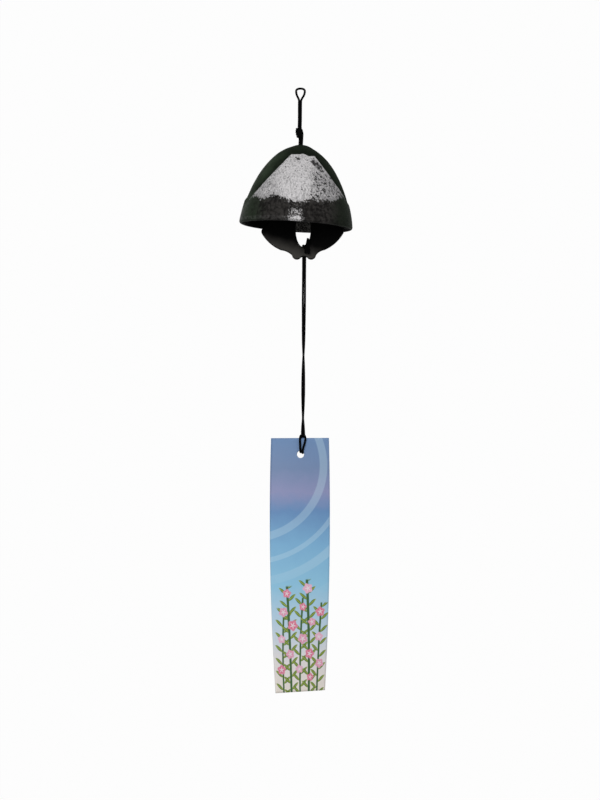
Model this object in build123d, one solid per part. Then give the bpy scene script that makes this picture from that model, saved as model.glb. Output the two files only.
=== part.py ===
"""A cast-iron furin wind bell: bell, clapper, paper strip, and the knotted cords that carry them.

Millimetres, +Z up, +X to the right and -Y towards the viewer. The origin is the point inside the
hanging loop where the hook bears, so everything hangs below it.
"""

import math
import os

from build123d import *

# Cord, laid double everywhere
CORD_DIAMETER = 1.2
STRAND_CLEARANCE = 0.05
BEND_SHARE = 0.45

# Clearances
SWING_GAP = 0.7
TURN_GAP = 0.3
SEAT_GAP = 0.6
WRAP_CLEARANCE = 0.1
ARCH_CLEARANCE = 0.7
CUT_OVERRUN = 2.0

# Hanging loop, from the hook down to the knot over the crown
LOOP_LENGTH = 22.8
HOOK_DIAMETER = 4.0
EYE_STRAIGHT = 0.6
EYE_TAPER = 3.0

# Knots
CROWN_KNOT_LENGTH = 7.8
CROWN_KNOT_WIDTH = 4.6
CROWN_KNOT_TURNS = 3
KNOT_RING_BULGE = 0.55
STOP_KNOT_HEIGHT = 4.0
STOP_KNOT_WIDTH = 5.4
STOP_KNOT_BULGE = 1.6
BRIDGE_KNOT_LENGTH = 4.6
BRIDGE_KNOT_WIDTH = 3.4
BRIDGE_KNOT_TURNS = 2
BRIDGE_KNOT_SHIFT = 2.7
CUT_END_RISE = 7.2
CUT_END_RUN = 1.1

# Bell
NECK_LENGTH = 3.6
BELL_HEIGHT = 48.8
BELL_RADIUS = 33.5
BELL_FULLNESS = 1.5
DOME_STATIONS = 12
BELL_LEAN = 3.5
BELL_SHIFT = 0.15
RIM_WALL = 3.0
CROWN_WALL = 4.3
RIM_ROUND = 0.9
HOLLOW_FULLNESS = 1.25
CROWN_HOLE_DIAMETER = 3.4

# Mountain raised on the front of the bell, on a foot band that runs all round
MOUNTAIN_RELIEF = 0.7
BAND_HEIGHT = 14.9
MOUNTAIN_SHIFT = 2.0
SUMMIT_DEPTH = 7.0
SUMMIT_HALF_WIDTH = 6.9
SUMMIT_FALL = 0.8
CRATER_DIP = 1.3
CRATER_DIP_SHARE = 0.55
FOOT_DEPTH = 35.3
FOOT_HALF_WIDTH = 29.7

# Clapper
CLAPPER_DROP = 2.8
CLAPPER_SHIFT = 1.2
CLAPPER_SIDE_GAP = 5.3
CLAPPER_THICKNESS = 3.2
CLAPPER_EDGE_ROUND = 1.1
CLAPPER_TIP_ROUND = 2.6
CLAPPER_CORNER_ROUND = 1.5
SHOULDER_HALF_WIDTH = 8.5
SHOULDER_RISE = 15.0
SHOULDER_BULGE = 1.6
HEAD_BULGE = 4.5
BELLY_HALF_WIDTH = 13.0
BELLY_FALL = 11.3
BELLY_BULGE = 1.5
WAIST_HALF_WIDTH = 7.2
WAIST_FALL = 14.4
WAIST_HOLLOW = 0.6
LOBE_BULGE = 1.8
LOBE_SHIFT = 0.9
NOTCH_WIDTH = 4.0
NOTCH_FALL = 15.9
NOTCH_HOLLOW = 0.7
SLOT_WIDTH = 8.9
SLOT_HEIGHT = 20.6
SLOT_RISE = 1.0
SLOT_SHIFT = 0.4

# Tail cord from the clapper to the strip
TAIL_LENGTH = 94.1
LEAD_LENGTH = 9.0
TAIL_SHIFT = 1.0
TAIL_DRIFT = -0.7
HITCH_SPREAD = 1.45
HITCH_LEAN = -0.2
HITCH_RISE = 2.2
HITCH_SIDE = 0.7

# Paper strip
STRIP_WIDTH = 36.0
STRIP_LENGTH = 151.5
STRIP_THICKNESS = 0.4
STRIP_TOP_ANGLE = -15.5
STRIP_BOTTOM_ANGLE = 35.5
STRIP_SECTIONS = 6
PUNCH_DIAMETER = 4.4
PUNCH_DROP = 9.8
PUNCH_OFFSET = 0.4
PUNCH_SHIFT = -1.5

# Levels worked out from the sizes above
CORD_RADIUS = CORD_DIAMETER / 2
CLAPPER_HALF_WIDTH = BELL_RADIUS - RIM_WALL - CLAPPER_SIDE_GAP
STRAND_OFFSET = (CORD_DIAMETER + STRAND_CLEARANCE) / 2
TAIL_X = CLAPPER_SHIFT + TAIL_SHIFT
STRIP_X = TAIL_X + TAIL_DRIFT
KNOT_TOP = -LOOP_LENGTH
KNOT_BOTTOM = KNOT_TOP - CROWN_KNOT_LENGTH
CROWN = KNOT_BOTTOM - NECK_LENGTH
RIM = CROWN - BELL_HEIGHT
CROWN_UNDERSIDE = CROWN - CROWN_WALL
STOP_KNOT_TOP = CROWN_UNDERSIDE - SEAT_GAP
STOP_KNOT_BOTTOM = STOP_KNOT_TOP - STOP_KNOT_HEIGHT
BEAM = RIM - CLAPPER_DROP
HEAD_TOP = BEAM + SHOULDER_RISE + HEAD_BULGE
SLOT_TOP = BEAM + SLOT_RISE + SLOT_HEIGHT / 2
SLOT_BOTTOM = BEAM + SLOT_RISE - SLOT_HEIGHT / 2
NOTCH = BEAM - NOTCH_FALL + NOTCH_HOLLOW
WRAP_STANDOFF = WRAP_CLEARANCE + CORD_RADIUS
KNOT_DEPTH = CLAPPER_THICKNESS / 2 + WRAP_CLEARANCE + BRIDGE_KNOT_WIDTH / 2
HEAD_WRAP_TOP = HEAD_TOP + WRAP_STANDOFF + WRAP_CLEARANCE
FOOT_WRAP_TOP = SLOT_BOTTOM + WRAP_STANDOFF + ARCH_CLEARANCE
FOOT_WRAP_BOTTOM = NOTCH - WRAP_STANDOFF - ARCH_CLEARANCE
TAIL_TOP = FOOT_WRAP_BOTTOM - CORD_RADIUS - SWING_GAP
TAIL_BOTTOM = TAIL_TOP - TAIL_LENGTH
LEAD_TOP = TAIL_BOTTOM - TURN_GAP
LEAD_BOTTOM = LEAD_TOP - LEAD_LENGTH
HITCH_TOP = LEAD_BOTTOM - SWING_GAP
STRIP_TOP = HITCH_TOP - HITCH_RISE
PUNCH = STRIP_TOP - PUNCH_DROP


# Cord helpers

def bend_radii(points):
    """The largest radius that each corner of a route leaves room for."""
    radii = []
    for before, corner, after in zip(points, points[1:], points[2:]):
        run_in = Vector(corner) - Vector(before)
        run_out = Vector(after) - Vector(corner)
        turn = math.radians(run_in.get_angle(run_out))
        shorter_run = min(run_in.length, run_out.length)
        radii.append(BEND_SHARE * shorter_run / math.tan(turn / 2))
    return radii


def cord(points, label):
    """One strand of cord along straight runs joined by tangent arcs."""
    radii = bend_radii(points)
    path = FilletPolyline(*points, radius=radii) if radii else Line(*points)
    section = Plane(origin=path @ 0, z_dir=path % 0) * Circle(CORD_RADIUS)
    tube = sweep(section, path=path)
    length_volume = math.pi * CORD_RADIUS**2 * path.length
    tightest = min(radii) if radii else math.inf
    print(f"{label}: length {path.length:.1f}, tightest bend {tightest:.1f},"
          f" volume {tube.volume:.2f} of {length_volume:.2f}")
    return tube


def pair_points(x, level, turn, half_gap):
    """Where the two strands of a doubled cord pass a level, the pair turned about its own line."""
    along_x = half_gap * math.cos(math.radians(turn))
    along_y = half_gap * math.sin(math.radians(turn))
    return (x + along_x, along_y, level), (x - along_x, -along_y, level)


def doubled_cord(route, label):
    """Two strands side by side, from a route of (x, level, turn of the pair, half gap)."""
    both = [pair_points(*station) for station in route]
    strands = [cord([pair[side] for pair in both], f"{label} {side}") for side in (0, 1)]
    return Compound(children=strands)


def knot_body(width, length, turns, bulge):
    """A pulled-tight knot standing on Z at the origin, ringed by the bulges of its turns."""
    waist = width / 2 - bulge
    turn_height = length / turns
    levels = [length / 2 - turn_height * index for index in range(turns + 1)]
    sides = []
    for upper, lower in zip(levels, levels[1:]):
        middle = (width / 2, 0, (upper + lower) / 2)
        sides.append(ThreePointArc((waist, 0, upper), middle, (waist, 0, lower)))
    top = Line((0, 0, levels[0]), (waist, 0, levels[0]))
    foot = Line((waist, 0, levels[-1]), (0, 0, levels[-1]))
    return revolve(make_face([top, *sides, foot, Line(foot @ 1, top @ 0)]), Axis.Z)


# Hanging loop and the knots at the crown

def hanging_loop():
    eye = HOOK_DIAMETER / 2 + CORD_RADIUS
    top = CORD_RADIUS
    side = top - eye - EYE_STRAIGHT
    throat = side - EYE_TAPER
    foot = KNOT_TOP + TURN_GAP
    left = [(-STRAND_OFFSET, 0, foot), (-STRAND_OFFSET, 0, throat), (-eye, 0, side), (-eye, 0, top)]
    right = [(-x, y, z) for x, y, z in reversed(left)]
    return cord(left + right, "hanging_loop")


def crown_knot():
    knot = knot_body(CROWN_KNOT_WIDTH, CROWN_KNOT_LENGTH, CROWN_KNOT_TURNS, KNOT_RING_BULGE)
    return Pos(0, 0, (KNOT_TOP + KNOT_BOTTOM) / 2) * knot


def neck_cord():
    top = KNOT_BOTTOM - SWING_GAP
    route = [(0, top, 0, STRAND_OFFSET), (0, STOP_KNOT_TOP, 0, STRAND_OFFSET)]
    return doubled_cord(route, "neck_cord")


def stop_knot():
    knot = knot_body(STOP_KNOT_WIDTH, STOP_KNOT_HEIGHT, 1, STOP_KNOT_BULGE)
    return Pos(0, 0, (STOP_KNOT_TOP + STOP_KNOT_BOTTOM) / 2) * knot


# Bell

def dome_radius(depth, radius, height, fullness):
    """Half width of a dome at a depth below its top; a larger fullness gives rounder shoulders."""
    return radius * math.sqrt(1 - (1 - depth / height) ** fullness)


def dome_curve(top, radius, height, fullness):
    """Half of a dome's outline in the XZ plane, level at the top and upright at the mouth."""
    points = []
    for index in range(DOME_STATIONS):
        depth = height * (1 - math.cos(math.pi / 2 * index / (DOME_STATIONS - 1)))
        points.append((dome_radius(depth, radius, height, fullness), 0, top - depth))
    return Spline(*points)


def dome(top, radius, height, fullness):
    """A solid dome standing on its flat mouth."""
    curve = dome_curve(top, radius, height, fullness)
    mouth = Line(curve @ 1, (0, 0, top - height))
    axis = Line(mouth @ 1, curve @ 0)
    return revolve(make_face([curve, mouth, axis]), Axis.Z)


def rimmed_dome(top, radius, height, fullness):
    """A solid dome with the edge of its mouth rounded."""
    body = dome(top, radius, height, fullness)
    return fillet(body.edges().sort_by(Axis.Z)[0], RIM_ROUND)


def mountain_outline():
    """Outline of the mountain as it is seen from the front, drawn on the plane through the axis."""
    top = CROWN - SUMMIT_DEPTH
    corner = top - SUMMIT_FALL
    dip = (SUMMIT_HALF_WIDTH * CRATER_DIP_SHARE, top - CRATER_DIP)
    flare = (FOOT_HALF_WIDTH - SUMMIT_HALF_WIDTH) / (FOOT_DEPTH - SUMMIT_DEPTH - SUMMIT_FALL)
    base = RIM - CUT_OVERRUN
    foot = SUMMIT_HALF_WIDTH + flare * (corner - base)
    outline = [(-foot, base), (-SUMMIT_HALF_WIDTH, corner), (0, top), dip,
               (SUMMIT_HALF_WIDTH, corner), (foot, base)]
    return make_face(Polyline(*[(MOUNTAIN_SHIFT + x, 0, z) for x, z in outline], close=True))


def bell():
    hood = rimmed_dome(CROWN, BELL_RADIUS, BELL_HEIGHT, BELL_FULLNESS)
    raised = rimmed_dome(
        CROWN + MOUNTAIN_RELIEF, BELL_RADIUS + MOUNTAIN_RELIEF, BELL_HEIGHT + MOUNTAIN_RELIEF, BELL_FULLNESS)
    front = extrude(mountain_outline(), BELL_RADIUS + CUT_OVERRUN, dir=(0, -1, 0))
    hollow_height = BELL_HEIGHT - CROWN_WALL
    hollow = dome(CROWN_UNDERSIDE, BELL_RADIUS - RIM_WALL, hollow_height, HOLLOW_FULLNESS)
    hole = Pos(0, 0, CROWN) * Cylinder(CROWN_HOLE_DIAMETER / 2, 2 * (CROWN_WALL + CUT_OVERRUN))
    band = Pos(0, 0, RIM) * Cylinder(BELL_RADIUS + CUT_OVERRUN, 2 * BAND_HEIGHT)
    upright = hood + (raised & (front + band)) - hollow - hole
    return Pos(BELL_SHIFT, 0, 0) * upright.rotate(Axis((0, 0, CROWN), (0, 1, 0)), BELL_LEAN)


# Clapper and the cord round it

def clapper_half(side):
    """One side of the clapper's outline from the shoulder round to the lip of the notch."""
    tip = (side * CLAPPER_HALF_WIDTH, 0)
    shoulder = (side * SHOULDER_HALF_WIDTH, SHOULDER_RISE)
    belly = (side * BELLY_HALF_WIDTH, -BELLY_FALL)
    waist = (LOBE_SHIFT + side * WAIST_HALF_WIDTH, -WAIST_FALL)
    lip = (LOBE_SHIFT + side * NOTCH_WIDTH / 2, -NOTCH_FALL)
    return [
        SagittaArc(shoulder, tip, side * SHOULDER_BULGE),
        SagittaArc(tip, belly, side * BELLY_BULGE),
        SagittaArc(belly, waist, -side * WAIST_HOLLOW),
        SagittaArc(waist, lip, side * LOBE_BULGE),
    ]


def clapper_outline():
    right = clapper_half(1)
    left = clapper_half(-1)
    head = SagittaArc(left[0] @ 0, right[0] @ 0, HEAD_BULGE)
    notch = SagittaArc(right[-1] @ 1, left[-1] @ 1, -NOTCH_HOLLOW)
    return make_face([head, *right, notch, *left])


def clapper():
    plate = clapper_outline()
    corners = plate.vertices().sort_by(Axis.X)[1:-1]
    plate = fillet(corners, CLAPPER_CORNER_ROUND)
    tips = plate.vertices().sort_by(Axis.X)
    plate = fillet([tips[0], tips[-1]], CLAPPER_TIP_ROUND)
    plate -= Pos(SLOT_SHIFT, SLOT_RISE) * Ellipse(SLOT_WIDTH / 2, SLOT_HEIGHT / 2)
    solid = extrude(plate, CLAPPER_THICKNESS / 2, both=True)
    rims = solid.faces().filter_by(Axis.Z).edges()
    solid = fillet(rims, CLAPPER_EDGE_ROUND)
    return Pos(CLAPPER_SHIFT, 0, BEAM) * Rot(90, 0, 0) * solid


def closing_knot(x, top, bottom):
    """The small knot on the front face that closes the cord round a bridge."""
    knot = knot_body(BRIDGE_KNOT_WIDTH, BRIDGE_KNOT_LENGTH, BRIDGE_KNOT_TURNS, KNOT_RING_BULGE)
    return Pos(x, -KNOT_DEPTH, (top + bottom) / 2) * knot


def head_hitch():
    """The doubled cord once round the bridge over the slot, its ends meeting under the knot in front."""
    depth = CLAPPER_THICKNESS / 2 + WRAP_STANDOFF
    top = HEAD_WRAP_TOP
    bottom = SLOT_TOP - WRAP_STANDOFF - ARCH_CLEARANCE
    middle = (top + bottom) / 2
    hitch = closing_knot(CLAPPER_SHIFT + STRAND_OFFSET, top, bottom)
    for side in (-STRAND_OFFSET, STRAND_OFFSET):
        x = CLAPPER_SHIFT + side
        hitch += cord(
            [(x, -depth, middle + CORD_RADIUS), (x, -depth, top), (x, depth, top),
             (x, depth, bottom), (x, -depth, bottom), (x, -depth, middle - CORD_RADIUS)], "head_hitch")
    return hitch


def bridge_knot():
    """The doubled tail behind the lower bridge and over the slot's edge to the knot in front, ends cut above it."""
    depth = CLAPPER_THICKNESS / 2 + WRAP_STANDOFF
    top = FOOT_WRAP_TOP
    bottom = FOOT_WRAP_BOTTOM
    middle = (top + bottom) / 2
    knot_x = CLAPPER_SHIFT + BRIDGE_KNOT_SHIFT
    knot = closing_knot(knot_x, top, bottom)
    for side in (-STRAND_OFFSET, STRAND_OFFSET):
        x = TAIL_X + side
        knot += cord(
            [(x, -CORD_RADIUS, bottom), (x, depth, bottom), (x, depth, top), (x, -depth, top),
             (knot_x + side, -depth, middle)], "bridge_knot")
        start = (knot_x + side, -KNOT_DEPTH, middle)
        end = (knot_x + side + CUT_END_RUN, -KNOT_DEPTH, middle + CUT_END_RISE)
        knot += cord([start, end], "cut_end")
    return knot


def clapper_cord():
    top = STOP_KNOT_BOTTOM - SWING_GAP
    bottom = HEAD_WRAP_TOP + CORD_RADIUS + SWING_GAP
    route = [(0, top, 0, STRAND_OFFSET), (CLAPPER_SHIFT, bottom, 0, STRAND_OFFSET)]
    return doubled_cord(route, "clapper_cord")


# Tail cord, its lead, and the hitch through the strip

# Share of the tail's length, turn of the pair in degrees, half gap in strand offsets
TAIL_ROUTE_SHARES = [
    (0.00, 0, 1.00), (0.12, 2, 1.05), (0.29, 3, 1.35), (0.47, 30, 1.02), (0.60, 88, 1.00),
    (0.70, 140, 1.02), (0.79, 172, 1.20), (0.89, 210, 1.04), (1.00, 266, 1.00),
]
LEAD_ROUTE_SHARES = [(0.0, 266, 1.00), (0.5, 318, 1.10), (1.0, 358, 1.25)]


def tail_stations(route, top, length, x_top, drift):
    return [(x_top + drift * share, top - length * share, turn, gap * STRAND_OFFSET)
            for share, turn, gap in route]


def tail_cord():
    route = tail_stations(TAIL_ROUTE_SHARES, TAIL_TOP, TAIL_LENGTH, TAIL_X, TAIL_DRIFT)
    return doubled_cord(route, "tail_cord")


def strip_lead():
    route = tail_stations(LEAD_ROUTE_SHARES, LEAD_TOP, LEAD_LENGTH, STRIP_X, 0)
    return doubled_cord(route, "strip_lead")


def strip_twist(level):
    """Turn of the strip about the vertical at a level, growing evenly from its top to its foot."""
    share = (STRIP_TOP - level) / STRIP_LENGTH
    return STRIP_TOP_ANGLE + (STRIP_BOTTOM_ANGLE - STRIP_TOP_ANGLE) * share


def strip_plane(level):
    """A level plane on the cord's line, turned as the strip is there."""
    return Plane((STRIP_X, 0, level)).rotated((0, 0, strip_twist(level)))


def paper_strip():
    sections = []
    for index in range(STRIP_SECTIONS):
        level = STRIP_TOP - STRIP_LENGTH * index / (STRIP_SECTIONS - 1)
        sections.append(strip_plane(level) * Pos(PUNCH_SHIFT - PUNCH_OFFSET, 0) * Rectangle(STRIP_WIDTH, STRIP_THICKNESS))
    sheet = loft(sections)
    punch = strip_plane(PUNCH) * Pos(PUNCH_SHIFT, 0) * Rot(90, 0, 0) * Cylinder(PUNCH_DIAMETER / 2, STRIP_WIDTH)
    return sheet - punch


def strip_hitch():
    """The bight drawn through the punched hole, up the front and round its own two strands."""
    face = STRIP_THICKNESS / 2 + WRAP_STANDOFF + WRAP_CLEARANCE
    hole_x = PUNCH_SHIFT + HITCH_SIDE
    hole_room = PUNCH_DIAMETER / 2 - WRAP_STANDOFF - WRAP_CLEARANCE
    turn_level = math.sqrt(hole_room**2 - (HITCH_SIDE + STRAND_OFFSET) ** 2) - PUNCH_DROP

    def strand(side):
        """From the lead down the back, through the hole and up the front to the bar over the strands."""
        inner = side * STRAND_OFFSET
        return [
            (inner, face / 2, HITCH_RISE), (inner, face, 0), (hole_x + inner, face, turn_level),
            (hole_x + inner, -face, turn_level), (HITCH_LEAN + side * HITCH_SPREAD, -face, -WRAP_STANDOFF),
            (HITCH_LEAN + inner, -face, WRAP_STANDOFF + CORD_DIAMETER),
        ]

    knot = cord(strand(-1) + strand(1)[::-1], "strip_hitch")
    return Plane((STRIP_X, 0, STRIP_TOP)).rotated((0, 0, strip_twist(PUNCH))) * knot


PIECES = [
    hanging_loop, crown_knot, neck_cord, stop_knot, bell, clapper_cord, clapper, head_hitch,
    bridge_knot, tail_cord, strip_lead, strip_hitch, paper_strip,
]


def main():
    os.makedirs("parts", exist_ok=True)
    for piece in PIECES:
        export_step(piece(), f"parts/{piece.__name__}.step")


if __name__ == "__main__":
    main()
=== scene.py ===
"""A cast-iron wind bell on a black cord, with a flat clapper and a printed paper strip below it."""

import math

import bpy
from mathutils import Matrix, Vector, noise


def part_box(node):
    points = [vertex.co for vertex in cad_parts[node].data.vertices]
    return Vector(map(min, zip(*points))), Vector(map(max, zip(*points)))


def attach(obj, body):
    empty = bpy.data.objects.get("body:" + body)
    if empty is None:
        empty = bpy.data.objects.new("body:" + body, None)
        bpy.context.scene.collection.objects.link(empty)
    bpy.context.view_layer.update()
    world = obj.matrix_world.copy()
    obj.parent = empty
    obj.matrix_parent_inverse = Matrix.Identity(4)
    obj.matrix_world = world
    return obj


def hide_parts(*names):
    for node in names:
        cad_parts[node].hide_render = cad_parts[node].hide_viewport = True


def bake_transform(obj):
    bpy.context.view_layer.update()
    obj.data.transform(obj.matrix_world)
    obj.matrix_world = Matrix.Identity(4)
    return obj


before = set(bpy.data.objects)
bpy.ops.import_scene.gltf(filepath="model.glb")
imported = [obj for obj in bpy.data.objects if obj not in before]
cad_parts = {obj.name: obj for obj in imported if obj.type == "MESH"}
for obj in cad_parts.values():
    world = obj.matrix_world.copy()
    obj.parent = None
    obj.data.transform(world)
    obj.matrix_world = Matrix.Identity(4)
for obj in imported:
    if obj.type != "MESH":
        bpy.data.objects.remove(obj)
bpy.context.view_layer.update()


# Hanging cord: a black laid cord of three plies, about a millimetre thick, used doubled.
# It closes in an eye over the hook, and its two strands run down side by side into
# the knot above the crown.

MM = 0.001
CORD_RADIUS = 0.6
# Loose fibres stand this far out past the cord's own radius
FIBRE_REACH = 0.08
STRAND_OFFSET = 0.60
PAIR = (-STRAND_OFFSET, STRAND_OFFSET)
CORD_SIDES = 15
CORD_PLIES = 3
PLY_GROOVE_SHARE = 0.06
LAY_PITCH = 3.4
LINE_STEPS = 26
FIBRES_AROUND = 14
FIBRES_ALONG = 2.2
CORD_BLACK = (0.0030, 0.0030, 0.0032, 1)
CORD_WORN = (0.0085, 0.0085, 0.0088, 1)


class Reading:
    """A number or colour that varies over a finish and can be used in sums."""

    def __init__(self, finish, socket):
        self.finish = finish
        self.socket = socket

    def maths(self, operation, *parts):
        return self.finish.node("ShaderNodeMath", {"operation": operation}, dict(enumerate(parts)))

    def __add__(self, other):
        return self.maths("ADD", self, other)

    def __sub__(self, other):
        return self.maths("SUBTRACT", self, other)

    def __rsub__(self, other):
        return self.maths("SUBTRACT", other, self)

    def __mul__(self, other):
        return self.maths("MULTIPLY", self, other)

    def __truediv__(self, other):
        return self.maths("DIVIDE", self, other)

    def __abs__(self):
        return self.maths("ABSOLUTE", self)

    __radd__ = __add__
    __rmul__ = __mul__


class Finish:
    """A finish built up from nodes, on a material or on the room's world."""

    def __init__(self, owner):
        self.owner = owner
        owner.use_nodes = True
        self.tree = owner.node_tree
        self.tree.nodes.clear()

    def node(self, kind, settings, inputs, output=0):
        made = self.tree.nodes.new(kind)
        for key, value in settings.items():
            if key == "stops":
                while len(made.color_ramp.elements) < len(value):
                    made.color_ramp.elements.new(1)
                for element, (place, colour) in zip(made.color_ramp.elements, value):
                    element.position = place
                    element.color = colour
            else:
                setattr(made, key, value)
        for key, value in inputs.items():
            if isinstance(value, Reading):
                self.tree.links.new(value.socket, made.inputs[key])
            else:
                made.inputs[key].default_value = value
        return Reading(self, made.outputs[output]) if made.outputs else None

    def place(self):
        """The part's own x, y and z, in millimetres."""
        spot = self.node("ShaderNodeTexCoord", {}, {}, "Object")
        return self.node("ShaderNodeVectorMath", {"operation": "SCALE"}, {0: spot, "Scale": 1 / MM})

    def parts(self, vector):
        return [self.node("ShaderNodeSeparateXYZ", {}, {0: vector}, axis) for axis in range(3)]

    def chart(self, uv_map):
        """The two numbers that a mesh carries for its finish."""
        uv = self.node("ShaderNodeUVMap", {"uv_map": uv_map}, {})
        return self.parts(uv)[:2]

    def grain(self, place, scale, detail=3.0, roughness=0.55, stretch=(1, 1, 1)):
        """Noise from 0 to 1 with a given number of cells in a millimetre."""
        drawn = self.node("ShaderNodeVectorMath", {"operation": "MULTIPLY"}, {0: place, 1: stretch})
        return self.node("ShaderNodeTexNoise", {}, {
            "Vector": drawn, "Scale": scale, "Detail": detail, "Roughness": roughness})

    def step(self, value, low, high):
        """0 below low, 1 above high, and smooth in between."""
        return self.node("ShaderNodeMapRange", {"interpolation_type": "SMOOTHSTEP"}, {
            "Value": value, "From Min": low, "From Max": high})

    def mix(self, mask, first, second):
        return self.node("ShaderNodeMix", {"data_type": "RGBA"}, {0: mask, 6: first, 7: second}, 2)

    def bump(self, height, depth):
        """Raised grain; depth is in millimetres for a height of 1."""
        return self.node("ShaderNodeBump", {}, {"Height": height, "Distance": depth * MM})

    def surface(self, **inputs):
        named = {key.replace("_", " "): value for key, value in inputs.items()}
        shader = self.node("ShaderNodeBsdfPrincipled", {}, named)
        self.node("ShaderNodeOutputMaterial", {}, {0: shader})
        return self.owner


def new_finish(name):
    return Finish(bpy.data.materials.new(name))


def cord_finish():
    finish = new_finish("black_cord")
    around, along = finish.chart("lay")
    drawn = finish.node("ShaderNodeCombineXYZ", {}, {0: around * FIBRES_AROUND, 1: along * FIBRES_ALONG})
    fibre = finish.node("ShaderNodeTexNoise", {}, {"Vector": drawn, "Scale": 3.0, "Detail": 2.0})
    worn = finish.step(fibre, 0.45, 0.8)
    return finish.surface(
        Base_Color=finish.mix(worn, CORD_BLACK, CORD_WORN), Roughness=0.62 + worn * 0.2,
        Specular_IOR_Level=0.0, Normal=finish.bump(fibre, 0.05))


black_cord = cord_finish()


def cord_line(points):
    """The smooth line of a cord past its route's points, which are in millimetres."""
    curve = bpy.data.curves.new("cord_line", "CURVE")
    curve.dimensions = "3D"
    curve.resolution_u = LINE_STEPS
    spline = curve.splines.new("NURBS")
    spline.points.add(len(points) - 1)
    for point, place in zip(spline.points, points):
        point.co = (*(value * MM for value in place), 1)
    spline.order_u = 3
    spline.use_endpoint_u = True
    holder = bpy.data.objects.new("cord_line", curve)
    mesh = bpy.data.meshes.new_from_object(holder)
    line = [vertex.co.copy() for vertex in mesh.vertices]
    bpy.data.meshes.remove(mesh)
    bpy.data.objects.remove(holder)
    bpy.data.curves.remove(curve)
    return line


def cord_rings(line, radius):
    """Rings of a three-ply cord along a line, each with its distance from the start."""
    rings = []
    run = 0.0
    heading = (line[1] - line[0]).normalized()
    side = heading.orthogonal().normalized()
    for index, place in enumerate(line):
        ahead = line[min(index + 1, len(line) - 1)]
        behind = line[max(index - 1, 0)]
        turned = (ahead - behind).normalized()
        side = heading.rotation_difference(turned) @ side
        heading = turned
        run += (place - behind).length if index else 0.0
        over = heading.cross(side)
        lay = 2 * math.pi * run / (LAY_PITCH * MM)
        ring = []
        for corner in range(CORD_SIDES):
            angle = 2 * math.pi * corner / CORD_SIDES
            groove = 0.5 - 0.5 * math.cos(CORD_PLIES * angle)
            reach = (radius + FIBRE_REACH) * MM * (1 - PLY_GROOVE_SHARE * groove)
            ring.append(place + reach * (math.cos(angle + lay) * side + math.sin(angle + lay) * over))
        rings.append((ring, run))
    return rings


def cord_piece(name, *lines, radius=CORD_RADIUS):
    """A mesh of laid cord along one or more lines, with closed ends."""
    points = []
    faces = []
    chart = []
    for line in lines:
        rings = cord_rings(line, radius)
        first = len(points)
        for ring, run in rings:
            points.extend(ring)
        for row in range(len(rings) - 1):
            for corner in range(CORD_SIDES):
                after = (corner + 1) % CORD_SIDES
                low = first + row * CORD_SIDES
                high = low + CORD_SIDES
                faces.append((low + corner, low + after, high + after, high + corner))
                near, far = rings[row][1] / MM, rings[row + 1][1] / MM
                left, right = corner / CORD_SIDES, (corner + 1) / CORD_SIDES
                chart.append(((left, near), (right, near), (right, far), (left, far)))
        last = len(points) - CORD_SIDES
        faces.append(tuple(reversed(range(first, first + CORD_SIDES))))
        faces.append(tuple(range(last, last + CORD_SIDES)))
        chart.extend([((0, 0),) * CORD_SIDES] * 2)
    return mesh_piece(name, points, faces, [black_cord], "lay", chart)


def mesh_piece(name, points, faces, materials, uv_map, chart, indices=None):
    """A smooth-shaded mesh object whose corners carry the numbers that its finish reads."""
    mesh = bpy.data.meshes.new(name)
    mesh.from_pydata(points, [], faces)
    layer = mesh.uv_layers.new(name=uv_map)
    flat = [value for corners in chart for corner in corners for value in corner]
    layer.data.foreach_set("uv", flat)
    mesh.polygons.foreach_set("use_smooth", [True] * len(mesh.polygons))
    if indices:
        mesh.polygons.foreach_set("material_index", indices)
    for material in materials:
        mesh.materials.append(material)
    piece = bpy.data.objects.new(name, mesh)
    bpy.context.scene.collection.objects.link(piece)
    return piece


def metres(x, y, z):
    return (x * MM, y * MM, z * MM)


def level(node, end):
    """Height of a node's lowest (0) or highest (1) point, in millimetres."""
    return round(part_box(node)[end][2] / MM, 2)


KNOT_TOP = level("crown_knot", 1)
EYE_HALF_WIDTH = 2.6
EYE_TOP = CORD_RADIUS - FIBRE_REACH
TWIST_TOP = -9
# Middle of the pair, half the space between its strands, and level, from the knot up to the eye
LOOP_ROUTE = [
    (-0.60, STRAND_OFFSET, -25.0), (-0.34, STRAND_OFFSET, -19.5), (-0.34, STRAND_OFFSET, -12.5),
    (-0.30, STRAND_OFFSET, -8.0), (-0.20, STRAND_OFFSET, -6.2), (0, EYE_HALF_WIDTH, -2.9),
    (0, EYE_HALF_WIDTH, EYE_TOP)]
LOOP_LEFT = [(middle - half, 0, height) for middle, half, height in LOOP_ROUTE]
LOOP_RIGHT = [(middle + half, 0, height) for middle, half, height in reversed(LOOP_ROUTE)]

loop_line = cord_line(LOOP_LEFT + LOOP_RIGHT)
hanging_loop = cord_piece("hanging_loop_cord", loop_line)


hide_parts("hanging_loop")
metres(0, 0, TWIST_TOP)
metres(0, 0, KNOT_TOP)
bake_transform(hanging_loop)


# Crown knot: the doubled cord tied in one tight overhand knot that keeps the bell
# from riding up. Its turns slant, higher on the left, round the two strands that run through it.

KNOT_BOTTOM = level("crown_knot", 0)
KNOT_MIDDLE = (-0.60, 0, -26.4)
KNOT_HEIGHT = 5.6
KNOT_REACH = 1.84
KNOT_TURNS = 2.5
KNOT_TILT = -0.27
KNOT_SLANT = 0.4
KNOT_BARREL_SHARE = 0.3
KNOT_STARTS = (60, 240)
KNOT_CORE = [(-0.42, 0, KNOT_TOP), KNOT_MIDDLE, (0.2, 0, KNOT_BOTTOM)]
TURN_POINTS = 14
TUCK_SHARE = 0.45


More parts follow.
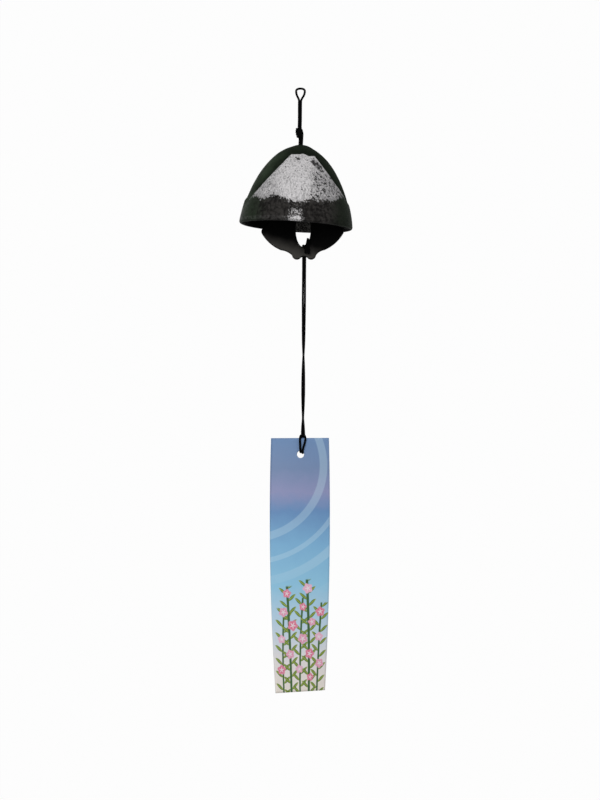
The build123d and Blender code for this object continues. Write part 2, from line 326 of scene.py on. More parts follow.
def winding(middle, height, reach, turns, start, tilt=0.0, barrel=0.0, slant=0.0):
    """Route points of a strand in close turns round a knot, with its two ends tucked in."""
    points = []
    count = round(turns * TURN_POINTS)
    for index in range(count + 1):
        share = index / count
        angle = math.radians(start) + 2 * math.pi * turns * share
        out = reach * (TUCK_SHARE if index in (0, count) else 1 - barrel * (2 * share - 1) ** 2)
        x, y = out * math.cos(angle), out * math.sin(angle)
        drift = slant * (share - 0.5)
        rise = height * (0.5 - share) + tilt * x
        points.append((middle[0] + drift + x, middle[1] + y, middle[2] + rise))
    return points


def knot_turns(start):
    return winding(
        KNOT_MIDDLE, KNOT_HEIGHT, KNOT_REACH, KNOT_TURNS, start, KNOT_TILT, KNOT_BARREL_SHARE, KNOT_SLANT)


crown_knot = cord_piece(
    "crown_knot_turns", *[cord_line(knot_turns(start)) for start in KNOT_STARTS],
    *[cord_line([(x + side, y, z) for x, y, z in KNOT_CORE]) for side in PAIR])
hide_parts("crown_knot")
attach(crown_knot, "knot")


# Neck: the two strands go down through the hole in the crown to a stop knot inside,
# which carries the weight of the bell.

STOP_KNOT_TOP = level("stop_knot", 1)
STOP_KNOT_BOTTOM = level("stop_knot", 0)
STOP_KNOT_REACH = 2.1
STOP_KNOT_RISE = 2.2
STOP_KNOT_TURNS = 1.25
STOP_KNOT_STARTS = (0, 180)
NECK_BEND = 1.2
NECK_STRAND_RADIUS = 0.66
NECK_LEFT = [(-0.30, 0, -28.2), (-0.42, 0, -30.4), (-0.52, 0, -32.6), (-0.62, 0, -36.0), (-0.62, 0, -39.8)]
NECK_RIGHT = [(1.05, 0, -28.2), (0.95, 0, -30.4), (0.82, 0, -32.6), (0.62, 0, -36.0), (0.62, 0, -39.8)]

neck = cord_piece("neck_strands", cord_line(NECK_LEFT), cord_line(NECK_RIGHT), radius=NECK_STRAND_RADIUS)
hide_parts("neck_cord")
metres(0, 0, KNOT_BOTTOM)
metres(0, 0, KNOT_BOTTOM - NECK_BEND)
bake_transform(neck)

stop_knot_middle = (0, 0, (STOP_KNOT_TOP + STOP_KNOT_BOTTOM) / 2)


def stop_knot_turns(start):
    return winding(stop_knot_middle, STOP_KNOT_RISE, STOP_KNOT_REACH, STOP_KNOT_TURNS, start)


stop_knot = cord_piece(
    "stop_knot_turns", *[cord_line(stop_knot_turns(start)) for start in STOP_KNOT_STARTS],
    *[cord_line([(side, 0, STOP_KNOT_TOP), (side, 0, STOP_KNOT_BOTTOM)]) for side in PAIR])
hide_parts("stop_knot")
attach(stop_knot, "neck")


# Bell: cast iron, half a hand's breadth tall and hung a little aslant. A mountain with straight flanks
# stands out from the front on a band that runs all round; its upper part is dry-brushed silver,
# the hood behind it is green-black, and the foot and the inside are bare dark iron. Painted light,
# shade and highlights lie over these colours.

NECK_LENGTH = 3.6
CROWN = KNOT_BOTTOM - NECK_LENGTH
BELL_HEIGHT = 48.8
BELL_RADIUS = 33.5
BELL_FULLNESS = 1.5
HOLLOW_FULLNESS = 1.25
BELL_LEAN = math.radians(3.5)
BELL_SHIFT = 0.15
RIM_WALL = 3.0
RIM_ROUND = 1.4
RIM_MARGIN = 0.01
INNER_BEVEL = 0.35
CROWN_WALL = 4.3
CROWN_HOLE_RADIUS = 2.0
BOSS_RISE = 0.65
BOSS_RUN = 6.3
BOSS_SIDE = 1.5
MOUNTAIN_RELIEF = 0.7
BAND_DEPTH = 33.9
MOUNTAIN_SHIFT = 1.75
SUMMIT_HALF_WIDTH = 6.9
SUMMIT_EDGE = [(-6.9, 7.45), (-2.5, 7.25), (0, 6.65), (3.8, 7.95), (6.9, 7.45)]
FLANK_SLOPE = 0.829
FLANK_WOBBLE = 0.2
FLANK_SOFTNESS = 0.26
BAND_SOFTNESS = 1.2
FRONT_LINES = 320
BACK_LINES = 80
FRONT_HALF = math.radians(100)
DOME_ROWS = 120
RIM_ROWS = 6
HOLLOW_ROWS = 44
CASTING_SWELL = 0.12
CASTING_GRAIN = 0.05
# The casting is smooth at the crown hole and gains its swells over this depth
SWELL_RUN = 4.0
# Inside, every point counts as far outside the mountain
INSIDE_REACH = -40.0


def dome_radius(depth, radius, height, fullness):
    return radius * math.sqrt(max(0.0, 1 - max(0.0, 1 - depth / height) ** fullness))


def smooth(value, low, high):
    share = min(1.0, max(0.0, (value - low) / (high - low)))
    return share * share * (3 - 2 * share)


def summit_depth(x):
    """Depth of the mountain's uneven top edge below the crown."""
    for (left, upper), (right, lower) in zip(SUMMIT_EDGE, SUMMIT_EDGE[1:]):
        if x < right:
            return upper + (lower - upper) * smooth(x, left, right)
    return SUMMIT_EDGE[-1][1]


def mountain_reach(x, forward, depth):
    """How far a point lies inside the mountain's outline, in millimetres."""
    aside = x - MOUNTAIN_SHIFT
    wobble = FLANK_WOBBLE * noise.noise(Vector((0.25 * depth, 7.0 if aside > 0 else 1.0, 0)))
    half_width = SUMMIT_HALF_WIDTH + FLANK_SLOPE * (depth - SUMMIT_EDGE[0][1]) + wobble
    across = (half_width - abs(aside)) / math.hypot(1, FLANK_SLOPE)
    return min(across, depth - summit_depth(aside), forward)


def bell_lines():
    front = [FRONT_HALF * (2 * i / FRONT_LINES - 1) for i in range(FRONT_LINES + 1)]
    back_span = 2 * math.pi - 2 * FRONT_HALF
    back = [FRONT_HALF + back_span * i / BACK_LINES for i in range(1, BACK_LINES)]
    return front + back


def bell_outside(angle, depth):
    """A point on the bell's upright outside and how far it lies inside the mountain."""
    hood = dome_radius(depth, BELL_RADIUS, BELL_HEIGHT, BELL_FULLNESS)
    mountain = dome_radius(
        depth + MOUNTAIN_RELIEF, BELL_RADIUS + MOUNTAIN_RELIEF, BELL_HEIGHT + MOUNTAIN_RELIEF, BELL_FULLNESS)
    middle = (hood + mountain) / 2
    x, forward = middle * math.sin(angle), middle * math.cos(angle)
    reach = mountain_reach(x, forward, depth)
    band = smooth(depth - BAND_DEPTH, -BAND_SOFTNESS, BAND_SOFTNESS)
    share = max(band, smooth(reach, -FLANK_SOFTNESS, FLANK_SOFTNESS))
    radius = hood + (mountain - hood) * share
    spot = Vector((radius * math.sin(angle), -radius * math.cos(angle), -depth))
    swell = CASTING_SWELL * noise.noise(spot * 0.13) + CASTING_GRAIN * noise.noise(spot * 0.8)
    radius += swell * smooth(depth, 0.0, SWELL_RUN)
    return radius, reach


def bell_rows():
    """The bell's outline from the crown hole, down the outside, round the rim, and up the inside."""
    rows = []
    hole_depth = BELL_HEIGHT * (1 - (1 - (CROWN_HOLE_RADIUS / BELL_RADIUS) ** 2) ** (1 / BELL_FULLNESS))
    start = math.acos(1 - hole_depth / BELL_HEIGHT)
    lip = math.acos(RIM_ROUND / BELL_HEIGHT)
    for index in range(DOME_ROWS + 1):
        sweep = start + (lip - start) * index / DOME_ROWS
        rows.append(("outside", BELL_HEIGHT * (1 - math.cos(sweep)), 0.0))
    for index in range(1, RIM_ROWS + 1):
        turn = math.pi / 2 * index / RIM_ROWS
        depth = BELL_HEIGHT - RIM_ROUND * (1 - math.sin(turn))
        rows.append(("rim", depth, RIM_ROUND * (1 - math.cos(turn))))
    rows.append(("inside", BELL_HEIGHT, BELL_RADIUS - RIM_WALL + INNER_BEVEL))
    hollow_height = BELL_HEIGHT - CROWN_WALL
    hollow_radius = BELL_RADIUS - RIM_WALL
    end = math.acos((1 - (CROWN_HOLE_RADIUS / hollow_radius) ** 2) ** (1 / HOLLOW_FULLNESS))
    for index in range(HOLLOW_ROWS + 1):
        sweep = math.pi / 2 + (end - math.pi / 2) * index / HOLLOW_ROWS
        depth = hollow_height * (1 - math.cos(sweep))
        radius = dome_radius(depth, hollow_radius, hollow_height, HOLLOW_FULLNESS)
        bevel = INNER_BEVEL if index == 0 else 0.0
        rows.append(("inside", CROWN_WALL + depth - bevel, radius))
    return rows


def bell_mesh():
    lines = bell_lines()
    upright = []
    reaches = []
    kinds = []
    for kind, depth, size in bell_rows():
        kinds.append(kind)
        for angle in lines:
            if kind == "inside":
                radius, reach = size, INSIDE_REACH
            else:
                radius, reach = bell_outside(angle, min(depth, BELL_HEIGHT - RIM_MARGIN))
                radius -= size
            x, y = radius * math.sin(angle), -radius * math.cos(angle)
            aside = math.hypot(x - BOSS_SIDE, y)
            rise = BOSS_RISE * (1 - smooth(aside, CROWN_HOLE_RADIUS, CROWN_HOLE_RADIUS + BOSS_RUN))
            upright.append((x, y, rise - depth if kind == "outside" else -depth))
            reaches.append((reach, depth))
    lean = Matrix.Rotation(BELL_LEAN, 3, "Y")
    points = [(lean @ Vector(p) + Vector((BELL_SHIFT, 0, CROWN))) * MM for p in upright]
    faces = []
    chart = []
    indices = []
    count = len(lines)
    for row in range(len(kinds)):
        below = (row + 1) % len(kinds)
        inside = kinds[row] == "inside" or kinds[below] == "inside"
        for line in range(count):
            after = (line + 1) % count
            face = (row * count + line, below * count + line, below * count + after, row * count + after)
            faces.append(face)
            chart.append([reaches[corner] for corner in face])
            indices.append(1 if inside else 0)
    return points, faces, chart, indices


# Hood paint; its green shows most where the hood's painted light is strongest
HOOD_GREEN = (0.0310, 0.0450, 0.0275, 1)
# Darkest hood paint, also the painted shade along the mountain's flanks
HOOD_BLACK = (0.0042, 0.0062, 0.0038, 1)
HOOD_RUBBED = (0.032, 0.048, 0.034, 1)
IRON_BLACK = (0.0086, 0.0080, 0.0077, 1)
IRON_GREY = (0.0390, 0.0365, 0.0345, 1)
# Silver of the painted highlight on the foot
PAINTED_HIGHLIGHT_SILVER = (0.50, 0.49, 0.495, 1)
SNOW_WHITE = (0.645, 0.628, 0.636, 1)
# Grey end of the snow's mottle, also its greyer sides under the painted light
SNOW_GREY = (0.30, 0.296, 0.298, 1)
SNOW_WORN = (0.20, 0.195, 0.20, 1)
BARE_SPOT = (0.016, 0.015, 0.015, 1)
# Inside: near-black for painted shade, and painted light on the back wall
INSIDE_BLACK = (0.0009, 0.0009, 0.0009, 1)
INSIDE_PAINTED_LIGHT = (0.155, 0.151, 0.143, 1)
# Worn streak on the right flank and thin spot under the summit: place across and below the crown,
# half its length and width, and which way it runs
STREAK_MIDDLE = (9.8, 13.2)
STREAK_HALF_SIZE = (5.2, 2.1)
STREAK_RUN = (0.66, 0.75)
THIN_MIDDLE = (-2.2, 10.1)
THIN_HALF_SIZE = (2.4, 1.3)
# Depth of the snow's lower edge below the crown at places across the bell
SNOW_LINE = [
    (-27.0, 33.4), (-23.5, 35.4), (-19.3, 35.0), (-15.8, 33.0), (-11.0, 35.0), (-6.8, 36.6), (-2.7, 37.4),
    (1.9, 36.6), (6.5, 34.6), (10.7, 35.3), (14.8, 34.7), (19.5, 34.0), (23.5, 31.0), (27.0, 30.6)]
SNOW_LINE_SPAN = (-28.0, 28.0)
SNOW_LINE_RANGE = (30.0, 40.0)


class BellPaint(Finish):
    """The bell's outside, with the places and the grains that its colours share."""

    def __init__(self, name):
        super().__init__(bpy.data.materials.new(name))
        spot = self.place()
        self.x, self.y = self.parts(spot)[:2]
        self.reach, self.depth = self.chart("relief")
        self.sand = self.grain(spot, 2.0, 3.0, 0.6)
        self.lumps = self.grain(spot, 0.5)
        self.cloud = self.grain(spot, 0.12, 2.0)
        self.spots = self.grain(spot, 0.66, 2.5, 0.62)
        self.glint = self.grain(spot, 1.25, 2.0, 0.6)
        self.strokes = self.grain(spot, 0.75, 2.5, stretch=(1.7, 1.7, 0.3))
        self.front = 1 - self.step(self.y, -12, -5)

    def hood(self):
        """Green-black paint, with painted light that makes it greenest on the left, and painted shade to the
        right, at the crown and at the foot.
        """
        # Painted light and shade: the hood is lighter on the left, darker to the right, near the crown and
        # down at the band
        hood_painted_light = (1 - self.step(self.x, -26, 4) * 0.72) * (1 - self.step(self.depth, 31, 37) * 0.42)
        hood_painted_light = hood_painted_light * (self.step(self.depth, 3, 11) * 0.35 + 0.65)
        green = self.step(self.cloud + self.lumps * 0.5, 0.4, 0.85) * hood_painted_light
        # Rubbed wear on the hood, scattered at random
        wear_and_painted_light = self.step(self.sand + self.lumps * 0.3, 0.72, 0.95) * 0.3
        return self.mix(wear_and_painted_light, self.mix(green, HOOD_BLACK, HOOD_GREEN), HOOD_RUBBED)

    def shaded(self, hood):
        """The hood's paint with painted shade in the corner along the mountain's flanks, where the hood
        meets the raised mountain.
        """
        # Painted shade: darker towards the mountain's outline, fading out towards the band
        corner = self.step(self.reach, -4.5, -0.4) * (1 - self.step(self.depth, 28, 36))
        return self.mix(corner * 0.6, hood, HOOD_BLACK)

    def painted_highlight_flecks(self):
        """Share of painted highlight on the foot: silver flecks where the lamp's highlight falls, thickest
        in front at the lip, and a faint painted highlight along the rim's rounding.
        """
        x, depth = self.x, self.depth
        # Painted highlight: a column of flecks in front of the foot, where the lamp's highlight falls
        haze = self.step(depth, 36, 40) * (1 - self.step(abs(x + 2.5), 2, 6))
        middle = self.step(depth, 40.5, 43) * (1 - self.step(abs(x + 3.0), 2, 5.5))
        lowest = self.step(depth, 45.4, 46.6) * (1 - self.step(abs(x + 4.2), 3, 9))
        highlight_grain = self.step(self.glint + self.sand * 0.3 + middle * 0.10 + lowest * 0.10, 0.66, 0.92)
        highlight_flecks = highlight_grain * (haze * 0.42 + middle * 0.62 + lowest * 0.25) * self.front
        # Painted highlight along the rim's rounding, on the left
        lip = self.step(depth, 45.8, 46.4) * (1 - self.step(depth, 47.9, 48.3))
        lip = lip * (1 - self.step(x, -14, -8))
        highlight_flecks = highlight_flecks + lip * self.step(self.lumps + self.sand * 0.4, 0.5, 0.9) * 0.06
        return self.node("ShaderNodeClamp", {}, {0: highlight_flecks})

    def foot(self, hood, highlight_flecks):
        """Bare dark iron in front, with the hood's paint over it at the sides and the back, and the painted
        highlight's silver flecks.
        """
        grey = self.step(self.lumps * 0.6 + self.spots * 0.4 + self.cloud * 0.4, 0.58, 0.86)
        side = self.step(abs(self.x + 2) + (self.lumps - 0.5) * 12, 17, 29)
        painted = side.maths("MAXIMUM", side, 1 - self.front)
        iron = self.mix(painted, self.mix(grey, IRON_BLACK, IRON_GREY), hood)
        return self.mix(highlight_flecks, iron, PAINTED_HIGHLIGHT_SILVER)

    def oval(self, middle, half_size, run=(1, 0)):
        """0 at the middle of an oval patch on the front, and 1 on its edge."""
        across, down = self.x - middle[0], self.depth - middle[1]
        along = (across * run[0] + down * run[1]) / half_size[0]
        aside = (across * run[1] - down * run[0]) / half_size[1]
        return along * along + aside * aside

    def snow(self, hood):
        """Silver snow, thin towards the sides, with painted light that makes it brightest down the middle,
        and the share of it that is rubbed off.
        """
        # Painted light: lighter down the middle of the rounded face, greyer towards its sides
        painted_middle_light = 1 - self.step(abs(self.x + 2), 6, 24)
        mottle = self.spots * 0.4 + self.strokes * 0.45 + self.lumps * 0.15
        snow = self.mix(self.step(mottle + painted_middle_light * 0.06, 0.42, 0.6), SNOW_GREY, SNOW_WHITE)
        left = 1 - self.step(self.x, -17, -8)
        right = self.step(self.x, 3.0, 9.0) * self.step(self.depth, 14, 20)
        streak = 1 - self.step(self.oval(STREAK_MIDDLE, STREAK_HALF_SIZE, STREAK_RUN), 0.1, 1.4)
        thin = 1 - self.step(self.oval(THIN_MIDDLE, THIN_HALF_SIZE), 0.3, 1.2)
        wear = self.glint * 0.5 + self.lumps * 0.5 + right * 0.08 + left * 0.05 + streak * 0.12
        snow = self.mix(self.step(wear, 0.52, 0.64) * 0.6 + right * 0.08, snow, SNOW_WORN)
        pits = self.spots + self.sand * 0.15 + right * 0.105 + left * 0.035 + streak * 0.235 + thin * 0.17
        bare = self.step(pits, 0.70, 0.745)
        snow = self.mix(bare * 0.92, snow, BARE_SPOT)
        faded = self.step(self.x + (self.lumps - 0.5) * 8, 20, 29) * 0.6
        return self.mix(faded, snow, hood), bare

    def snow_line(self):
        """Depth of the snow's lower edge below the crown."""
        left, right = SNOW_LINE_SPAN
        high, low = SNOW_LINE_RANGE
        stops = []
        for across, depth in SNOW_LINE:
            shade = (depth - high) / (low - high)
            stops.append(((across - left) / (right - left), (shade, shade, shade, 1)))
        place = (self.x - left) / (right - left)
        return self.node("ShaderNodeValToRGB", {"stops": stops}, {0: place}) * (low - high) + high

    def painted(self):
        """The whole outside: hood, raised mountain, snow on its upper part and iron below."""
        hood = self.hood()
        highlight_flecks = self.painted_highlight_flecks()
        foot = self.foot(hood, highlight_flecks)
        hood = self.shaded(hood)
        snow, bare = self.snow(hood)
        ragged = (self.spots - 0.5) * 9 + (self.strokes - 0.5) * 7 + (self.sand - 0.5) * 5
        melt = 1 - (1 - self.step(self.depth - self.snow_line() + ragged, -0.7, 0.7)) * self.front
        raised = self.step(self.reach + (self.sand - 0.5) * 0.4, -0.2, 0.1)
        silver = raised * (1 - melt) * (1 - bare)
        iron = raised * melt
        return self.surface(
            Base_Color=self.mix(raised, hood, self.mix(melt, snow, foot)),
            Roughness=0.72 - silver * 0.14 - iron * 0.2 + self.sand * 0.1,
            Metallic=silver * 0.2 + iron * highlight_flecks * 0.5, Specular_IOR_Level=0.02,
            Normal=self.bump(self.sand * 0.5 + self.lumps * 0.7 + self.spots * 0.4 - bare * 0.3, 0.2))


def bell_inside_iron():
    finish = new_finish("bell_inside_iron")
    place = finish.place()
    x, y = finish.parts(place)[:2]
    sand = finish.grain(place, 1.3, 4.0, 0.65)
    lumps = finish.grain(place, 0.3, 2.0)
    # Painted light on the back wall inside, behind the middle; the rest of the inside is painted in shade
    wear_and_painted_light = finish.step(y, 8, 20) * (1 - finish.step(abs(x - 1.5), 6, 14))
    shade = finish.step(sand + lumps * 0.3, 0.5, 0.9) * (wear_and_painted_light * 0.96 + 0.04)
    return finish.surface(
        Base_Color=finish.mix(shade, INSIDE_BLACK, INSIDE_PAINTED_LIGHT),
        Roughness=0.8 + lumps * 0.2, Specular_IOR_Level=0.02, Normal=finish.bump(sand + lumps * 0.5, 0.3))


bell_points, bell_faces, bell_chart, bell_indices = bell_mesh()
bell_finishes = [BellPaint("bell_patina_and_snow").painted(), bell_inside_iron()]
bell = mesh_piece("bell_casting", bell_points, bell_faces, bell_finishes, "relief", bell_chart, bell_indices)
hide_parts("bell")
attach(bell, "bell")


# Clapper cord: the doubled black cord inside the bell. It goes on below the stop knot
# and runs down to the clapper's head, which hangs from it.

CLAPPER_SHIFT = 1.2
HEAD_WRAP_TOP = -65.5
CLAPPER_CORD_MIDDLE = -52
CLAPPER_CORD_TUCK = 0.7
CLAPPER_CORD_BEND = 2.0


def clapper_strand(side):
    return cord_line([
        (side, 0, STOP_KNOT_BOTTOM + CLAPPER_CORD_TUCK), (side * 1.02, 0, CLAPPER_CORD_MIDDLE),
        (CLAPPER_SHIFT + side, 0, HEAD_WRAP_TOP)])


clapper_cord = cord_piece("clapper_cord_strands", *[clapper_strand(side) for side in PAIR])
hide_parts("clapper_cord")
metres(0, 0, STOP_KNOT_BOTTOM)
metres(0, 0, STOP_KNOT_BOTTOM - CLAPPER_CORD_BEND)
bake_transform(clapper_cord)


# Clapper: a flat cast-iron plate with rounded edges, a long slot and two small lobes,
# blackened, with painted light low on its left side and on its edges, and painted shade
# on its upper part and on faces turned down.

# Blackened iron, nearly black for the painted shade of the bell above it; the colour below is the painted
# light
CLAPPER_BLACK = (0.0007, 0.0007, 0.0007, 1)
CLAPPER_PAINTED_LIGHT = (0.076, 0.072, 0.066, 1)


def clapper_iron():
    finish = new_finish("blackened_clapper")
    place = finish.place()
    x, y, z = finish.parts(place)
    sand = finish.grain(place, 1.8, 3.0, 0.6)
    cloud = finish.grain(place, 0.2, 2.0)
    # Painted highlight on the plate's rounded edges
    edge = 1 - finish.step(abs(y), 0.6, 1.5)
    # Painted light, lighter low down and to the left, below the shade of the bell
    painted_light_belly = finish.step(-0.3 * x - z + (cloud - 0.5) * 4, 91.5, 101)
    # Painted shade on faces turned down
    down = finish.parts(finish.node("ShaderNodeTexCoord", {}, {}, "Normal"))[2] * -1
    wear_and_painted_light = painted_light_belly * (edge * 0.3 + 0.7) * (1 - finish.step(down, 0.25, 0.75) * 0.85)
    # A few specks of rubbed wear, at random
    wear_and_painted_light = wear_and_painted_light + finish.step(sand + cloud * 0.5, 0.7, 1.0) * 0.02
    return finish.surface(
        Base_Color=finish.mix(wear_and_painted_light, CLAPPER_BLACK, CLAPPER_PAINTED_LIGHT),
        Roughness=0.5 + cloud * 0.2, Specular_IOR_Level=0.03, Normal=finish.bump(sand, 0.08))


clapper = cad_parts["clapper"]
clapper.data.materials.clear()
clapper.data.materials.append(clapper_iron())


# Cord round the clapper: a turn of the doubled cord over the upper bridge of the slot, closed by a
# small knot. Below, the tail goes behind the lower bridge and over the slot's edge to a knot
# in front, with both ends cut off above it.

WRAP_DEPTH = 2.3
KNOT_DEPTH = 3.4
HEAD_WRAP_BOTTOM = -75.9
HEAD_KNOT_LEVEL = -70.7
FOOT_WRAP_TOP = -94.5
FOOT_WRAP_BOTTOM = -102.4
BRIDGE_KNOT_LEVEL = -97.5
TAIL_X = 2.2
BRIDGE_KNOT_X = 3.9
SMALL_KNOT_REACH = 1.15
SMALL_KNOT_HEIGHT = 3.3
SMALL_KNOT_TURNS = 1.5
SMALL_KNOT_TILT = -0.3
SMALL_KNOT_STARTS = (20, 200)
CORNER_RUN = 1.0
ARCH_RISE = 0.15


def small_knot(x, height):
    middle = (x, -KNOT_DEPTH, height)
    sizes = (SMALL_KNOT_HEIGHT, SMALL_KNOT_REACH, SMALL_KNOT_TURNS)
    return [cord_line(winding(middle, *sizes, start, SMALL_KNOT_TILT)) for start in SMALL_KNOT_STARTS]


def head_wrap(x, top, bottom):
    """A turn over the head: up the front, down the back, and forward through the slot to the knot."""
    middle = (top + bottom) / 2
    front, back = -WRAP_DEPTH, WRAP_DEPTH
    return cord_line([
        (x, front, middle), (x, front, top - CORNER_RUN), (x, front, top), (x, 0, top + ARCH_RISE),
        (x, back, top), (x, back, top - CORNER_RUN), (x, back, bottom + CORNER_RUN), (x, back, bottom),
        (x, 0, bottom - ARCH_RISE), (x, front, bottom), (x, front, bottom + CORNER_RUN),
        (x, front - 0.3, middle)])


def foot_wrap(side, top, bottom):
    """From the notch up behind the lower bridge, over its edge, and down the front to the knot."""
    x = TAIL_X + side
    front, back = -WRAP_DEPTH, WRAP_DEPTH
    return cord_line([
        (x, -0.3, bottom - 0.4), (x, 0.4, bottom), (x, back, bottom), (x, back, bottom + CORNER_RUN),
        (x, back, top - CORNER_RUN), (x, back, top), (x, 0, top + 0.1), (x + 0.3, front, top),
        (x + 0.7, front, top - CORNER_RUN), (BRIDGE_KNOT_X + side, -KNOT_DEPTH, BRIDGE_KNOT_LEVEL)])


def cut_end(side):
    """One cut end, which stands up out of the knot and leans to the right."""
    x, y = BRIDGE_KNOT_X, -KNOT_DEPTH
    return cord_line([
        (x + side, y, -98.2), (x + side * 0.9, y - 0.3, -95.6), (x + 0.45 + side * 0.8, y + side, -93.2),
        (x + 1.0 + side * 0.7, y + 0.2 + side, -90.5 - side * 0.4)])


head_hitch = cord_piece(
    "head_hitch_cords", *[head_wrap(CLAPPER_SHIFT + side, HEAD_WRAP_TOP, HEAD_WRAP_BOTTOM) for side in PAIR],
    *small_knot(CLAPPER_SHIFT + STRAND_OFFSET, HEAD_KNOT_LEVEL))
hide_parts("head_hitch")
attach(head_hitch, "clapper")

bridge_knot = cord_piece(
    "bridge_knot_cords", *[foot_wrap(side, FOOT_WRAP_TOP, FOOT_WRAP_BOTTOM) for side in PAIR],
    *small_knot(BRIDGE_KNOT_X, BRIDGE_KNOT_LEVEL), *[cut_end(side) for side in PAIR])
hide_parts("bridge_knot")
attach(bridge_knot, "clapper")


# Tail: the doubled cord from the clapper down to the strip. The strands hang side by side,
# open a little, and cross twice on the way down.

TAIL_TOP = -103.7
TAIL_LENGTH = 94.1
LEAD_TOP = -198.1
LEAD_LENGTH = 9.0
TAIL_DRIFT = -0.7
TAIL_BEND = 2.5
LEAD_TUCK = 0.3
STRIP_X = TAIL_X + TAIL_DRIFT
# Share of the length, turn of the pair in degrees, and how far its strands stand apart
TAIL_ROUTE = [
    (0.00, 0, 1.00), (0.12, 2, 1.02), (0.25, 3, 1.12), (0.34, 12, 1.02), (0.50, 34, 1.00), (0.595, 86, 1.00),
    (0.69, 134, 1.00), (0.79, 158, 1.00), (0.89, 205, 1.00), (1.00, 266, 1.00)]
LEAD_ROUTE = [(0.0, 266, 1.00), (0.5, 318, 1.02), (1.0, 354, 1.08)]


def strand_route(route, top, length, x_top, drift, side):
    points = []
    for share, turn, gap in route:
        across = side * gap * STRAND_OFFSET
        angle = math.radians(turn)
        x = x_top + drift * share + across * math.cos(angle)
        points.append((x, across * math.sin(angle), top - length * share))
    return points


for name, side in (("left", -1), ("right", 1)):
    route = strand_route(TAIL_ROUTE, TAIL_TOP, TAIL_LENGTH, TAIL_X, TAIL_DRIFT, side)
    route = [(route[0][0], 0, FOOT_WRAP_BOTTOM)] + route
    line = cord_line(route)
    strand = cord_piece(f"tail_strand_{name}", line)
    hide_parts("tail_cord")
    metres(TAIL_X, 0, FOOT_WRAP_BOTTOM)
    metres(TAIL_X, 0, TAIL_TOP - TAIL_BEND)
    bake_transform(strand)

lead_routes = [
    strand_route(LEAD_ROUTE, LEAD_TOP + LEAD_TUCK, LEAD_LENGTH + 2 * LEAD_TUCK, STRIP_X, 0, side)
    for side in (-1, 1)]
lead = cord_piece("strip_lead_strands", *[cord_line(route) for route in lead_routes])
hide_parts("strip_lead")
metres(STRIP_X, 0, LEAD_TOP)
metres(STRIP_X, 0, LEAD_TOP - LEAD_LENGTH)
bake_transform(lead)


# Strip hitch: the bight of the doubled cord goes through the punched hole from behind,
# up the front, and round its own two strands.

STRIP_TOP = level("paper_strip", 1)
STRIP_LENGTH = STRIP_TOP - level("paper_strip", 0)
STRIP_WIDTH = 36.0
STRIP_THICKNESS = 0.4
STRIP_TOP_TWIST = -15.5
STRIP_BOTTOM_TWIST = 35.5
PUNCH_RADIUS = 2.2
PUNCH_DROP = 9.8
PUNCH_OFFSET = 0.4
PUNCH_SHIFT = -1.5
HITCH_FACE = 0.92
HITCH_SPREAD = 1.65
HITCH_STAGGER = 0.25
HITCH_SIDE = 0.7
HITCH_RISE = 2.2
HITCH_BEND = 0.9
HITCH_LEG = 1.7
HITCH_TURN = PUNCH_DROP - 0.8


def strip_twist(drop):
    return math.radians(STRIP_TOP_TWIST + (STRIP_BOTTOM_TWIST - STRIP_TOP_TWIST) * drop / STRIP_LENGTH)


def on_strip(across, out, drop, turn_drop=None):
    """A point of the part from its place across, in front of (-) or behind (+), and down the strip."""
    turn = strip_twist(drop if turn_drop is None else turn_drop)
    x = across * math.cos(turn) - out * math.sin(turn)
    y = across * math.sin(turn) + out * math.cos(turn)
    return (STRIP_X + x, y, STRIP_TOP - drop)


def hitch_strand(side):
    """Down the back, through the hole, and up the front to the bar over the two strands."""
    inner = side * STRAND_OFFSET
    hole = PUNCH_SHIFT + HITCH_SIDE + inner
    turn = HITCH_TURN + (side - 1) * HITCH_STAGGER
    front, back = -HITCH_FACE, HITCH_FACE
    return [
        (inner, 0.1, -HITCH_RISE - HITCH_BEND), (inner, back * 0.6, -HITCH_RISE), (inner, back, 0),
        (hole, back, turn - HITCH_LEG), (hole, back, turn), (hole, front, turn),
        (hole + side * 0.1, front, turn - HITCH_LEG), (side * HITCH_SPREAD * 1.05, front, 1.2),
        (side * HITCH_SPREAD * 0.95, front, -0.7), (side * 0.9, front, -1.75)]


hitch_route = hitch_strand(-1) + hitch_strand(1)[::-1]
hitch_line = cord_line([on_strip(*point, PUNCH_DROP) for point in hitch_route])
strip_hitch = cord_piece("strip_hitch_cord", hitch_line)
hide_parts("strip_hitch")
metres(STRIP_X, 0, STRIP_TOP + HITCH_RISE + HITCH_BEND)
metres(STRIP_X, 0, STRIP_TOP + HITCH_RISE)
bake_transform(strip_hitch)


# Paper strip: stiff satin card printed on the front, which catches the wind.
# It has taken a gentle twist, and hangs from a hole punched near its top edge.

STRIP_COLUMNS = 26
STRIP_ROWS = 110
PATCH_HALF = 4.4
PATCH_RINGS = 4
SAME_PLACE = 0.001


def strip_grid():
    """Places across and down the strip, measured from the hole and from the top edge."""
    left = -STRIP_WIDTH / 2 - PUNCH_OFFSET
    columns = {round(left + STRIP_WIDTH * index / STRIP_COLUMNS, 4) for index in range(STRIP_COLUMNS + 1)}
    rows = {round(STRIP_LENGTH * index / STRIP_ROWS, 4) for index in range(STRIP_ROWS + 1)}
    columns = sorted(columns | {-PATCH_HALF, PATCH_HALF})
    rows = sorted(rows | {PUNCH_DROP - PATCH_HALF, PUNCH_DROP + PATCH_HALF})
    return columns, rows


def outline(columns, rows):
    """The grid points round the edge of a block of columns and rows, in order."""
    top = [(x, rows[0]) for x in columns]
    right = [(columns[-1], z) for z in rows[1:]]
    bottom = [(x, rows[-1]) for x in reversed(columns[:-1])]
    left = [(columns[0], z) for z in reversed(rows[1:-1])]
    return top + right + bottom + left


def near(values, middle, half):
    return [value for value in values if abs(value - middle) <= half + SAME_PLACE]


